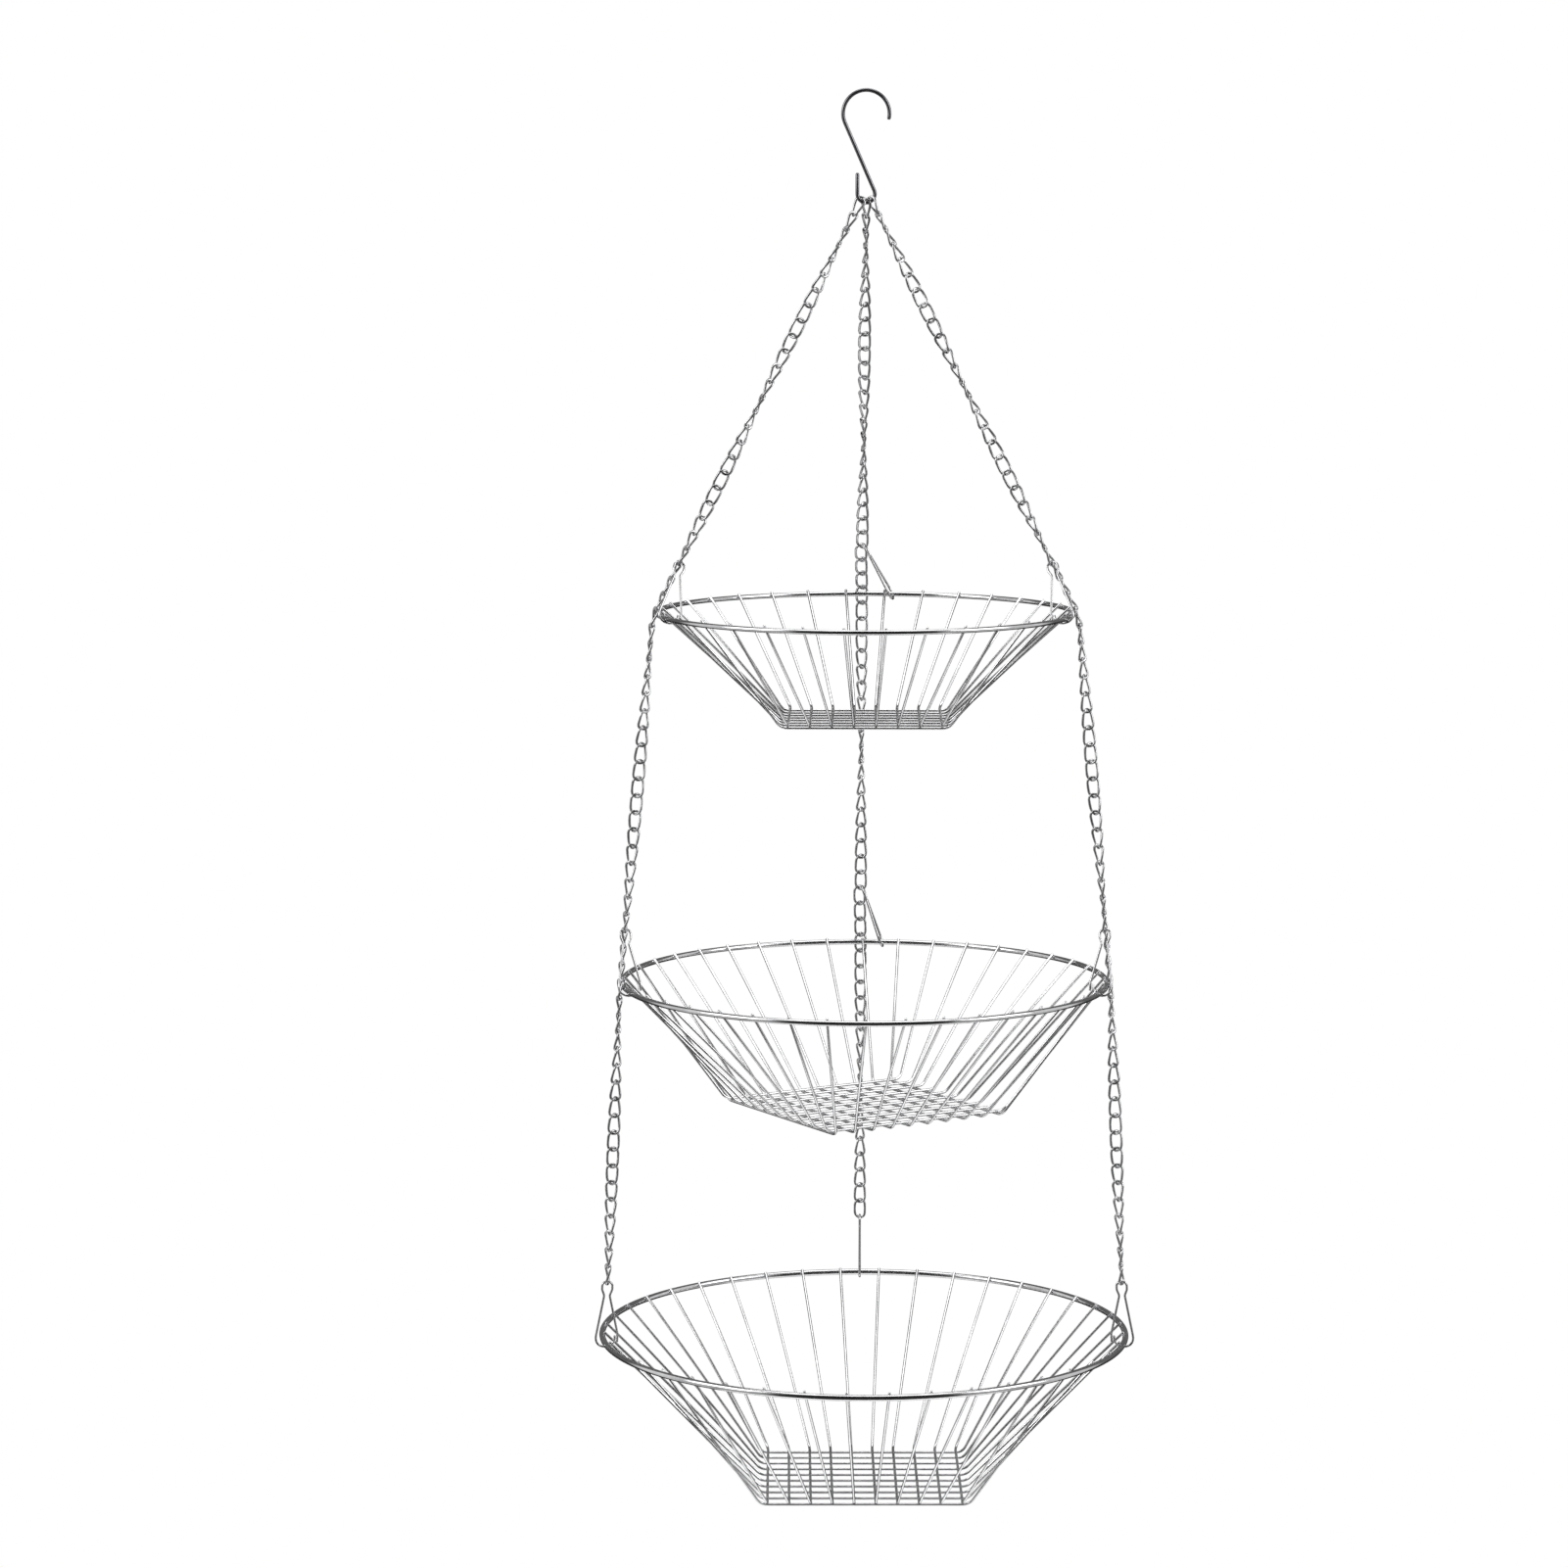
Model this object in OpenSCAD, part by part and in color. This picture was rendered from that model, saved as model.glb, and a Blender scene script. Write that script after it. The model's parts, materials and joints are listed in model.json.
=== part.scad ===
// Three-tier hanging basket of bare chromed wire, in millimetres, +Z up.
// The origin is where a ceiling hook bears: the highest point inside the S-hook's eye.
// The three chains run outside the two upper rims, and nine spring clips hold the rims to them.

/* [S-hook] */
// Wire diameter of the S-hook
hook_wire = 2; // [1.6:0.1:2.4]
// Inner radius of the open eye that goes over the ceiling hook
eye_r = 10.9; // [9:0.1:13]
// Inner radius of the small bend that carries the chains
hook_bend_r = 3.5; // [3.3:0.1:4.5]
// Distance between the two bearing points, eye to small bend
hook_reach = 55.3; // [46:0.1:67]
// How far the eye's free end goes past level, in degrees
eye_tip_turn = 11; // [0:1:30]
// Straight length of the small bend's free end
bend_tip = 9.8; // [6:0.1:12]

/* [Chain] */
// Wire diameter of a link
link_wire = 1.35; // [1.1:0.05:1.4]
// Length of the hole in a link
link_inner = 9.25; // [8.5:0.05:11.1]
// Outside width of a link
link_width = 7; // [6.6:0.1:8.4]
// Play between two links that bear on each other
link_play = 0.25; // [0.2:0.01:0.35]
// Angle along the small bend from the middle chain's link to its neighbours
hook_spread = 38; // [37:1:45]
// How far the two side chains hang forward of the widest point, in degrees
side_turn = 10; // [6:1:12]

/* [Rims] */
// Outside diameter of the top rim
top_rim_d = 219; // [182:1:262]
// Outside diameter of the middle rim
middle_rim_d = 257; // [214:1:308]
// Outside diameter of the bottom rim
bottom_rim_d = 280; // [233:1:336]
// Wire diameter of the top rim
top_rim_wire = 2.6; // [2.2:0.1:3.2]
// Wire diameter of the middle rim
middle_rim_wire = 2.8; // [2.3:0.1:3.4]
// Wire diameter of the bottom rim
bottom_rim_wire = 3.2; // [2.6:0.1:3.8]
// Height from the small bend down to the top rim
top_drop = 212.5; // [177:0.1:255]
// Height from the top rim down to the middle rim
middle_drop = 194.1; // [162:0.1:233]
// Height from the middle rim down to the bottom rim
bottom_drop = 188.4; // [157:0.1:226]

/* [Basket wires] */
// Diameter of the basket wires
basket_wire = 1.4; // [1.2:0.1:1.7]
// Distance between neighbouring wires in a base
grid_pitch = 11.3; // [9.4:0.1:13.6]
// Number of wires each way in the top basket
top_count = 8; // [6:1:9]
// Number of wires each way in the middle basket
middle_count = 10; // [8:1:11]
// Number of wires each way in the bottom basket
bottom_count = 10; // [8:1:11]
// Depth of the top basket, rim to base
top_depth = 55.9; // [46:0.1:68]
// Depth of the middle basket, rim to base
middle_depth = 67.4; // [56:0.1:81]
// Depth of the bottom basket, rim to base
bottom_depth = 79.7; // [66:0.1:96]
// How the top basket is turned about the vertical, in degrees
top_turn = -1; // [-45:1:45]
// How the middle basket is turned about the vertical, in degrees
middle_turn = -59; // [-90:1:90]
// How the bottom basket is turned about the vertical, in degrees
bottom_turn = 0; // [-45:1:45]
// Radius of the bend where a wire turns up out of the base
base_bend_r = 6; // [5:0.5:7]
// How far a wire runs on past the last crossing before it turns up
base_lip = 3.6; // [3:0.1:4.4]
// How far a wire's end stands past the rim that it is welded to
wire_tip = 1.1; // [0.5:0.1:1.6]

/* [Spring clips] */
// Wire diameter of a clip
clip_wire = 1.2; // [1:0.05:1.3]
// Length of a clip between the middles of its wire, head to hook
clip_length = 35; // [34.6:0.1:36]
// Distance between the middles of the two legs at the hook
clip_spread = 10; // [9:0.1:11]
// Width of the head between the middles of its wire
head_width = 5.4; // [5:0.1:6]
// Width of the neck between the middles of its wire
neck_width = 2.9; // [2.7:0.1:3.2]

/* [Hidden] */
sides = ["left", "right", "back"];
tiers = ["top", "middle", "bottom"];
$fn = 24;

// Fits
seat = 0.1;          // gap where a clip bears on a link or on a rim
rim_gap = 0.3;       // gap between a rim and the link that lies against it
weld_gap = 0.03;     // gap left where two wires are spot-welded
ease = 0.015;        // bends are this much fuller in radius, so that they unite cleanly
bite = 0.2;          // how far a straight length runs into a bend
crowd = 0.8;         // sideways room that a clip and a link take from each other
rim_seat = 0.7;      // the rim touches its link this far above the link's middle
flat = 0.25;         // half the straight length between the two bends of a clip's round end

// Link and hook
hook_r = hook_wire / 2;
link_r = link_wire / 2;
link_half = link_width / 2 - link_r;
crown_r = link_half - link_r;
pitch = link_inner - link_play;
eye_z = -eye_r;
bend_z = hook_bend_r - hook_reach;

// Sizes of the three tiers, as lists
rim_wire = [top_rim_wire, middle_rim_wire, bottom_rim_wire];
rim_r = [
    (top_rim_d - top_rim_wire) / 2,
    (middle_rim_d - middle_rim_wire) / 2,
    (bottom_rim_d - bottom_rim_wire) / 2
];
rim_z = [
    -hook_reach - top_drop,
    -hook_reach - top_drop - middle_drop,
    -hook_reach - top_drop - middle_drop - bottom_drop
];
count = [top_count, middle_count, bottom_count];
base_z = rim_z - [top_depth, middle_depth, bottom_depth];
turn = [top_turn, middle_turn, bottom_turn];

// Where the chains hang round the rims, and to which side their clips slide
azimuth = [180 + side_turn, -side_turn, 90];
clip_side = [1, -1, -1];
hook_angle = [-hook_spread, hook_spread, 0];
clip_r = clip_wire / 2;

function unit(v) = v / norm(v);
function polar(r, a, z) = [r * cos(a), r * sin(a), z];
function tangent(a) = [-sin(a), cos(a), 0];
function across(v, along) = unit(v - along * (v * along));

// How far the link at rim k leans from the vertical, k = 0 for the top and 1 for the middle
function widening(k) = k == 0 ? rim_r[0] : rim_r[k] - rim_r[k - 1];
function slope(k) = atan(widening(k) / [top_drop, middle_drop, bottom_drop][k]);
function lean(k) = (slope(k) + slope(k + 1)) / 2;

// Middle of the link that lies against rim k
function rim_room(k) = (rim_wire[k] / 2 + link_r + rim_gap) / cos(lean(k)) + rim_seat * tan(lean(k));
function rim_link(k, s) = polar(rim_r[k] + rim_room(k), azimuth[s], rim_z[k] - rim_seat);

// Middle of the hook's wire under the first link of chain s
function hook_point(s) =
    [(hook_bend_r + hook_r) * sin(hook_angle[s]), 0, bend_z - (hook_bend_r + hook_r) * cos(hook_angle[s])];

// Foot of the bottom clip: the middle of its wire under the rim
function foot_z(k) = rim_z[k] - rim_wire[k] / 2 - clip_r - seat;
function bottom_foot(s) = polar(rim_r[2], azimuth[s], foot_z(2));
function bottom_rise(s) = unit(rim_link(1, s) - bottom_foot(s));
function bottom_head(s) = bottom_foot(s) + clip_length * bottom_rise(s);
function end_link(s) = bottom_head(s) + (link_inner / 2 - clip_r - seat) * bottom_rise(s);

// Way down along the chain at the rim link, between the stretches above and below
function above(k, s) = k == 0 ? hook_point(s) : rim_link(0, s);
function below(k, s) = k == 0 ? rim_link(1, s) : end_link(s);
function rim_way(k, s) =
    unit(unit(rim_link(k, s) - above(k, s)) + unit(below(k, s) - rim_link(k, s)));

// Points where the links bear on each other, above and below a rim link
function over_rim(k, s) = rim_link(k, s) - pitch / 2 * rim_way(k, s);
function under_rim(k, s) = rim_link(k, s) + pitch / 2 * rim_way(k, s);

// Start and end of the stretch of chain that comes down to tier k
function hook_start(s) =
    hook_point(s) - (hook_r + link_play / 2) * unit(over_rim(0, s) - hook_point(s));
function start(k, s) = k == 0 ? hook_start(s) : under_rim(k - 1, s);
function end(k, s) = k < 2 ? over_rim(k, s) : end_link(s) + pitch / 2 * bottom_rise(s);
function links(k, s) = ceil(norm(end(k, s) - start(k, s)) / pitch);
function step(k, s) = (end(k, s) - start(k, s)) / links(k, s);
function bearing(k, s, i) = start(k, s) + i * step(k, s);

// The clip's link is this many links above the rim link, an even number so that both lie flat
clip_links = 2 * max(1, floor((clip_length + pitch / 4) / (2 * pitch)));
function clip_index(k, s) = links(k, s) - clip_links;

// A link of roll 0 lies flat to the rim. Each next link is turned a quarter, or a little more
// where the count of links asks for it, so that the clip's link lies flat again.
first_roll = [0, 0, 90];
function first(k, s) = k == 0 ? first_roll[s] : 90;
function half_turns(k, s) = floor(roll_steps(k, s) / 2) + 1;
function roll_steps(k, s) = k < 2 ? clip_index(k, s) : links(k, s);
function roll_step(k, s) = (180 * half_turns(k, s) - first(k, s)) / max(1, roll_steps(k, s));
function roll(k, s, i) = first(k, s) + i * roll_step(k, s);

// A round wire from p to q
module rod(p, q, d) {
    way = unit(q - p);
    translate(p) rotate([0, acos(way.z), atan2(way.y, way.x)]) cylinder(h = norm(q - p), d = d);
}

// Part of a ring about c: it starts at c + x * r and turns towards y
module bow(c, x, y, r, angle, d) {
    z = cross(x, y);
    multmatrix([
        [x.x, y.x, z.x, c.x],
        [x.y, y.y, z.y, c.y],
        [x.z, y.z, z.z, c.z]
    ]) rotate_extrude(angle = angle) translate([r, 0]) circle(d = d);
}

// A wire along the points, with a bend of radius bends[i] at the inner point i
module bent_wire(points, bends, d) {
    last = len(points) - 1;
    way = [for (i = [0:last - 1]) unit(points[i + 1] - points[i])];
    angle = [for (i = [0:last]) (i == 0 || i == last) ? 0 : acos(way[i - 1] * way[i])];
    trim = [for (i = [0:last]) bends[i] * tan(angle[i] / 2)];
    for (i = [0:last - 1]) {
        run_in = i == 0 ? 0 : bite;
        run_out = i + 1 == last ? 0 : bite;
        from = points[i] + way[i] * (trim[i] - run_in);
        to = points[i + 1] - way[i] * (trim[i + 1] - run_out);
        rod(from, to, d);
    }
    for (i = [1:last - 1]) {
        begin = points[i] - way[i - 1] * trim[i];
        inward = across(way[i], way[i - 1]);
        bow(begin + inward * bends[i], -inward, way[i - 1], bends[i], angle[i], d + 2 * ease);
    }
}

// One oval link that bears at points a and b, rolled about its length
module link(a, b, s, roll) {
    way = unit(b - a);
    flat = across(tangent(azimuth[s]), way);
    wide = flat * cos(roll) + cross(way, flat) * sin(roll);
    middle = (a + b) / 2;
    half = link_inner / 2 - crown_r;
    for (e = [-1, 1]) {
        bow(middle + e * half * way, e * wide, e * way, link_half, 180, link_wire);
        rod(
            middle - (half + bite) * way + e * link_half * wide,
            middle + (half + bite) * way + e * link_half * wide,
            link_wire - 2 * ease
        );
    }
}

// Links i0 to i1 of the stretch that comes down to tier k
module stretch(k, s, i0, i1) {
    for (i = [i0:i1]) link(bearing(k, s, i), bearing(k, s, i + 1), s, roll(k, s, i));
}

// The links from below the clip's link to the rim link, pushed aside by the clip's head
module rim_stretch(k, s) {
    way = unit(step(k, s));
    room = crown_r - link_r;
    lift = room - sqrt(room * room - crowd * crowd);
    away = -clip_side[s] * crowd * across(tangent(azimuth[s]), way);
    top = bearing(k, s, clip_index(k, s) + 1) + away - lift * way;
    down = (over_rim(k, s) - top) / (clip_links - 1);
    for (i = [0:clip_links - 2]) link(top + i * down, top + (i + 1) * down, s, 90 * (i + 1));
    link(over_rim(k, s), under_rim(k, s), s, 0);
}

// Middle of a clip's wire at the top of its head, inside the clip's link
function clip_head(k, s) = k == 2 ? bottom_head(s) : upper_head(k, s);
function upper_head(k, s) =
    let (way = unit(step(k, s)), i = clip_index(k, s), room = crown_r - clip_r - seat)
    (bearing(k, s, i) + bearing(k, s, i + 1)) / 2
        + (link_inner / 2 - crown_r + sqrt(room * room - crowd * crowd)) * way
        + clip_side[s] * crowd * across(tangent(azimuth[s]), way);

// The clip slides along the rim until its length is taken up
function clip_foot(k, s) =
    let (
        h = clip_head(k, s),
        r = norm([h.x, h.y]),
        rise = h.z - foot_z(k),
        c = (r * r + rim_r[k] * rim_r[k] + rise * rise - clip_length * clip_length) / (2 * r * rim_r[k])
    )
    k == 2 ? bottom_foot(s)
        : polar(rim_r[k], atan2(h.y, h.x) + clip_side[s] * acos(min(1, c)), foot_z(k));

// One spring clip: hook end, round the rim, outer leg, head, inner leg
module clip(k, s) {
    foot = clip_foot(k, s);
    up = unit(clip_head(k, s) - foot);
    out = across(unit([foot.x, foot.y, 0]), up);
    half = clip_spread / 2;
    head = head_width / 2;
    neck = neck_width / 2;
    top = norm(clip_head(k, s) - foot);
    latch = -half - clip_wire - 2 * seat;
    outline = [
        [-half, half + 1.2],
        [-half, 0],
        [half, 0],
        [half, half + 0.6],
        [neck, top - 7.4],
        [head, top - 4.2],
        [head, top],
        [-head, top],
        [-head, top - 4.2],
        [-neck, top - 7.4],
        [latch, half + 2.2],
        [latch, half - 2.4]
    ];
    bends = [0, half - flat, half - flat, 8, 2.4, 2.4, head - flat, head - flat, 2.4, 2.4, 2, 0];
    bent_wire([for (p = outline) foot + p.x * out + p.y * up], bends, clip_wire);
}

// The S-hook: eye, straight shank, small bend and its free end
module s_hook() {
    big = eye_r + hook_r;
    small = hook_bend_r + hook_r;
    lean = asin((big + small) / (eye_z - bend_z));
    right = [1, 0, 0];
    away = [cos(lean), 0, sin(lean)];
    down = [sin(lean), 0, -cos(lean)];
    tip = [cos(eye_tip_turn), 0, -sin(eye_tip_turn)];
    tip_up = [sin(eye_tip_turn), 0, cos(eye_tip_turn)];
    eye = [0, 0, eye_z];
    bend = [0, 0, bend_z];
    full = hook_wire + 2 * ease;
    color("silver") union() {
        bow(eye, tip, tip_up, big, 180 + lean + eye_tip_turn, full);
        translate(eye + big * tip) sphere(d = hook_wire - 2 * ease);
        rod(eye - big * away - bite * down, bend + small * away + bite * down, hook_wire);
        bow(bend, -right, [0, 0, -1], small, 180 + lean, full);
        rod(bend - small * right - [0, 0, bite], bend - small * right + [0, 0, bend_tip], hook_wire);
        translate(bend - small * right + [0, 0, bend_tip]) sphere(d = hook_wire - 2 * ease);
    }
}

module first_link(s) {
    color("silver") stretch(0, s, 0, 0);
}

module top_chain(s) {
    color("silver") {
        stretch(0, s, 1, clip_index(0, s));
        rim_stretch(0, s);
    }
}

module middle_chain(s) {
    color("silver") stretch(1, s, 0, clip_index(1, s) - 1);
}

module middle_rim_links(s) {
    color("silver") {
        stretch(1, s, clip_index(1, s), clip_index(1, s));
        rim_stretch(1, s);
    }
}

module bottom_chain(s) {
    color("silver") {
        stretch(2, s, 0, links(2, s) - 1);
        link(end(2, s), end(2, s) - pitch * bottom_rise(s), s, roll(2, s, links(2, s)));
    }
}

module spring_clip(k, s) {
    color("gainsboro") clip(k, s);
}

module rim(k) {
    color("silver") translate([0, 0, rim_z[k]])
        rotate_extrude() translate([rim_r[k], 0]) circle(d = rim_wire[k]);
}

// End of a wire on the inner side of rim k, for a wire that comes from the corner v.
// The way there depends on the end, so the end is worked out twice.
function rim_side(k, a, way) = let (n = unit(cross(way, tangent(a)))) n * sign(-n * polar(1, a, 0));
function rim_end(k, a, way) =
    polar(rim_r[k], a, rim_z[k]) + (rim_wire[k] / 2 + basket_wire / 2 + weld_gap) * rim_side(k, a, way);
function wire_way(k, v, a) = unit(rim_end(k, a, unit(polar(rim_r[k], a, rim_z[k]) - v)) - v);
function wire_end(k, v, a) = rim_end(k, a, wire_way(k, v, a)) + wire_tip * wire_way(k, v, a);

// One basket wire: along the base at sideways place y, turned by angle about the vertical
module basket_bend(k, j, angle, z) {
    half = (count[k] - 1) / 2;
    y = (j - half) * grid_pitch;
    fan = (j - half) * 90 / count[k];
    x = half * grid_pitch + base_lip;
    here = [x * cos(angle) - y * sin(angle), x * sin(angle) + y * cos(angle), z];
    there = [-x * cos(angle) - y * sin(angle), -x * sin(angle) + y * cos(angle), z];
    bent_wire(
        [wire_end(k, here, angle + fan), here, there, wire_end(k, there, angle + 180 - fan)],
        [0, base_bend_r, base_bend_r, 0],
        basket_wire
    );
}

module lengthwise_wires(k) {
    color("gainsboro") for (j = [0:count[k] - 1]) basket_bend(k, j, turn[k], base_z[k]);
}

module crosswise_wires(k) {
    color("gainsboro") for (j = [0:count[k] - 1])
        basket_bend(k, j, turn[k] + 90, base_z[k] + basket_wire + weld_gap);
}

s_hook();
for (s = [0:2]) {
    first_link(s);
    top_chain(s);
    middle_chain(s);
    middle_rim_links(s);
    bottom_chain(s);
}
for (k = [0:2]) {
    for (s = [0:2])
        spring_clip(k, s);
    rim(k);
    lengthwise_wires(k);
    crosswise_wires(k);
}
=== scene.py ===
# %% [markdown]
# # A three-tier hanging basket of bare chromed wire
# Everything on this object is one thing, round wire, bent in different ways: a hook, chain
# links, spring clips, rims and basket wires. So this lesson builds a small bending jig first, and
# then uses it for nearly every piece. The imported CAD model is loaded as the frame, and every piece
# takes the place of one of its parts.

import json
import math

import bpy
from mathutils import Matrix, Vector


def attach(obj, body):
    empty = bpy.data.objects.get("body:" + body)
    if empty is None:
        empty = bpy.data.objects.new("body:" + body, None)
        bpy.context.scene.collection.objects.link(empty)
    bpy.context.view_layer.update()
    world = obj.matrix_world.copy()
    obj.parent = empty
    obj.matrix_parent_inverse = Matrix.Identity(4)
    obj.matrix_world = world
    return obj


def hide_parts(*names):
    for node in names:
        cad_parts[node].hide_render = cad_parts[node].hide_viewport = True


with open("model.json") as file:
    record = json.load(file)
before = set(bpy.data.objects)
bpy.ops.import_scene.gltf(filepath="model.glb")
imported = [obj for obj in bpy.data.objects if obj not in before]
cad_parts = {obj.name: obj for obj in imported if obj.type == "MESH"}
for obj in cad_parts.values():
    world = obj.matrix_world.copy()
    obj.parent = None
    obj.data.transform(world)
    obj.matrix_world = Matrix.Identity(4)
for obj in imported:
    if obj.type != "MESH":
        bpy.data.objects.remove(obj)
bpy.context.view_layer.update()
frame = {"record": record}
BODY_OF = {n: b for b, members in frame["record"]["behaviour"]["bodies"].items() for n in members}
bpy.ops.object.select_all(action="DESELECT")

# %% [markdown]
# ## The camera comes first
# The baskets are seen from a little above and from some way off, so a long lens is used. Its
# distance, height and tilt decide how wide each rim's ellipse looks. They could be set by eye, but
# here they come from a fit to the three rims and the three bases, because a hand's breadth of
# height already shows in the ellipses.

# %% Camera
CAMERA_PLACE = (-0.0422, -2.5, -0.033)
CAMERA_TILT = 7.4  # degrees below level
CAMERA_LENS, CAMERA_SENSOR = 110.86, 36  # mm

camera_data = bpy.data.cameras.new("camera")
camera_data.lens = CAMERA_LENS
camera_data.sensor_width = CAMERA_SENSOR
camera = bpy.data.objects.new("camera", camera_data)
camera.location = CAMERA_PLACE
camera.rotation_euler = (math.radians(90 - CAMERA_TILT), 0, 0)
bpy.context.scene.collection.objects.link(camera)
bpy.context.scene.camera = camera
bpy.context.scene.view_settings.view_transform = "Standard"
print("camera at", CAMERA_PLACE)

# %% [markdown]
# ## Writing materials as sums
# Node trees are hard to read in code: each sum takes a node, two links and a number. A small class
# wraps one output socket, so that maths on it reads like maths, and each operator adds the Math
# node that does it.


# %% A socket that can be added and multiplied
class Value:
    def __init__(self, tree, socket):
        self.tree, self.socket = tree, socket

    def math(self, operation, a, b):
        out = make_node(self.tree, "ShaderNodeMath", {"operation": operation}, i0=a, i1=b)
        return Value(self.tree, out.outputs[0])

    def __add__(self, other):
        return self.math("ADD", self, other)

    __radd__ = __add__

    def __mul__(self, other):
        return self.math("MULTIPLY", self, other)

    __rmul__ = __mul__

    def __sub__(self, other):
        return self.math("SUBTRACT", self, other)

    def __rsub__(self, other):
        return self.math("SUBTRACT", other, self)

    def power(self, exponent):
        return self.math("POWER", self, exponent)

    def at_least(self, low):
        return self.math("MAXIMUM", self, low)

    def at_most(self, high):
        return self.math("MINIMUM", self, high)


def make_node(tree, kind, settings=None, **inputs):
    """Any node: its settings first, then the values or links of its sockets.

    i0, i1, ... are sockets by number. Other names are sockets by name, with _ for a space.
    """
    node = tree.nodes.new(kind)
    for key, value in (settings or {}).items():
        if key == "stops":
            ramp = node.color_ramp.elements
            for element, (place, color) in zip(ramp, value):
                element.position, element.color = place, color
            for place, color in value[len(ramp):]:
                ramp.new(place).color = color
        else:
            setattr(node, key, value)
    for key, value in inputs.items():
        by_number = key[0] == "i" and key[1:].isdigit()
        socket = node.inputs[int(key[1:])] if by_number else node.inputs[key.replace("_", " ")]
        if isinstance(value, Value):
            tree.links.new(value.socket, socket)
        else:
            socket.default_value = value
    return node


print("socket maths ready")

# %% [markdown]
# ## Chrome
# Plated wire is bright, but never perfectly even: drawing leaves fine marks, and handling leaves
# a little haze. One flat grey would do from far away, but close up it looks like plastic. Fresnel
# and reflections make most of the look, so the base colour only needs clouds of grey, and the
# roughness a slight mottle. One recipe serves all pieces, with its own greys for each.

# %% One chrome recipe with five finishes
CLOUD_SCALE, MARK_SCALE, RIM_MARK_SCALE = 70.0, 900.0, 500.0  # waves in a metre
CLOUD_SHARE = 0.7  # of the grey's change, and the fine marks make the rest
DARK_AT, BRIGHT_AT = 0.3, 0.7  # values of the noise
MARK_STRENGTH, MARK_DEPTH = 0.02, 0.0001


def chrome(name, dark, bright, rough, mottle, mark_scale=MARK_SCALE):
    """Chromed wire whose grey runs from dark to bright in soft clouds, finely marked."""
    material = bpy.data.materials.new(name)
    material.use_nodes = True
    tree = material.node_tree
    shader = tree.nodes["Principled BSDF"]
    coords = Value(tree, make_node(tree, "ShaderNodeTexCoord").outputs["Object"])
    clouds = make_node(tree, "ShaderNodeTexNoise", Vector=coords, Scale=CLOUD_SCALE, Detail=3.0)
    marks = make_node(tree, "ShaderNodeTexNoise", Vector=coords, Scale=mark_scale, Detail=2.0)
    cloud = Value(tree, clouds.outputs["Fac"])
    mark = Value(tree, marks.outputs["Fac"])
    grey = make_node(
        tree,
        "ShaderNodeValToRGB",
        {"stops": [(DARK_AT, (*dark, 1)), (BRIGHT_AT, (*bright, 1))]},
        Fac=cloud * CLOUD_SHARE + mark * (1 - CLOUD_SHARE),
    )
    tree.links.new(grey.outputs["Color"], shader.inputs["Base Color"])
    roughness = cloud * mottle + mark * (mottle * 0.5) + rough
    tree.links.new(roughness.socket, shader.inputs["Roughness"])
    shader.inputs["Metallic"].default_value = 1.0
    relief = make_node(
        tree, "ShaderNodeBump", Height=mark, Strength=MARK_STRENGTH, Distance=MARK_DEPTH
    )
    tree.links.new(relief.outputs["Normal"], shader.inputs["Normal"])
    return material


# Darkest grey, brightest grey, roughness, mottle of the roughness
RECIPES = {
    "hook_chrome": ((0.13, 0.13, 0.14), (0.24, 0.24, 0.25), 0.24, 0.1),
    "chain_chrome": ((0.34, 0.34, 0.35), (0.66, 0.66, 0.67), 0.1, 0.12),
    "clip_chrome": ((0.42, 0.42, 0.43), (0.68, 0.68, 0.69), 0.09, 0.1),
    "rim_chrome": ((0.5, 0.5, 0.51), (0.74, 0.74, 0.75), 0.05, 0.07, RIM_MARK_SCALE),
    "wire_chrome": ((0.52, 0.52, 0.53), (0.82, 0.82, 0.83), 0.09, 0.1),
}
FINISH = {name: chrome(name, *recipe) for name, recipe in RECIPES.items()}
print("finishes:", ", ".join(FINISH))

# %% [markdown]
# ## The bending jig
# A wire bender pushes a straight wire, turns it round a peg, pushes again, and so on. A curve with
# a round bevel could make such a wire too, but it pinches in tight bends. So this does what the
# bender does: a disc is added at the wire's start, extruded along each straight, and spun round
# each peg. The ends are drawn in a little, because cut and plated wire has no sharp edge.

# %% Push, turn and draw in
TIP_STEPS = ((0.55, 0.0), (0.85, 0.18), (1.0, 0.45))  # share of the radius, radii from the end
SAME_POINT = 0.000004  # m, vertices nearer than this are one
SHORTEST_PUSH, LEAST_TURN = 0.000001, 0.0001  # m and radians, less is left out
SMOOTH_UNDER, ARC_STEP = 50, 11.0  # degrees


def push(vector):
    bpy.ops.mesh.extrude_region_move(
        TRANSFORM_OT_translate={"value": vector, "orient_type": "GLOBAL"}
    )


def swell(factor, center):
    bpy.ops.transform.resize(value=(factor,) * 3, center_override=center)


def turn(angle, center, axis, steps):
    """Right-handed about the axis. The spin operator counts the other way, hence the minus."""
    bpy.ops.mesh.spin(steps=steps, angle=-angle, center=center, axis=axis, use_auto_merge=False)


def start_wire(place, way, radius, sides, closed=False):
    bpy.ops.object.select_all(action="DESELECT")
    bpy.ops.mesh.primitive_circle_add(
        vertices=sides,
        radius=radius,
        fill_type="NOTHING" if closed else "NGON",
        location=place,
        rotation=way.to_track_quat("Z", "Y").to_euler(),
    )
    wire = bpy.context.object
    bpy.ops.object.mode_set(mode="EDIT")
    bpy.ops.mesh.select_all(action="SELECT")
    return wire


def finish_wire(wire, name, smooth=SMOOTH_UNDER):
    bpy.ops.mesh.select_all(action="SELECT")
    bpy.ops.mesh.remove_doubles(threshold=SAME_POINT)
    bpy.ops.mesh.normals_make_consistent(inside=False)
    bpy.ops.object.mode_set(mode="OBJECT")
    bpy.ops.object.transform_apply(location=True, rotation=True, scale=True)
    bpy.ops.object.shade_smooth_by_angle(angle=math.radians(smooth))
    wire.name = name
    return wire


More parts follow.
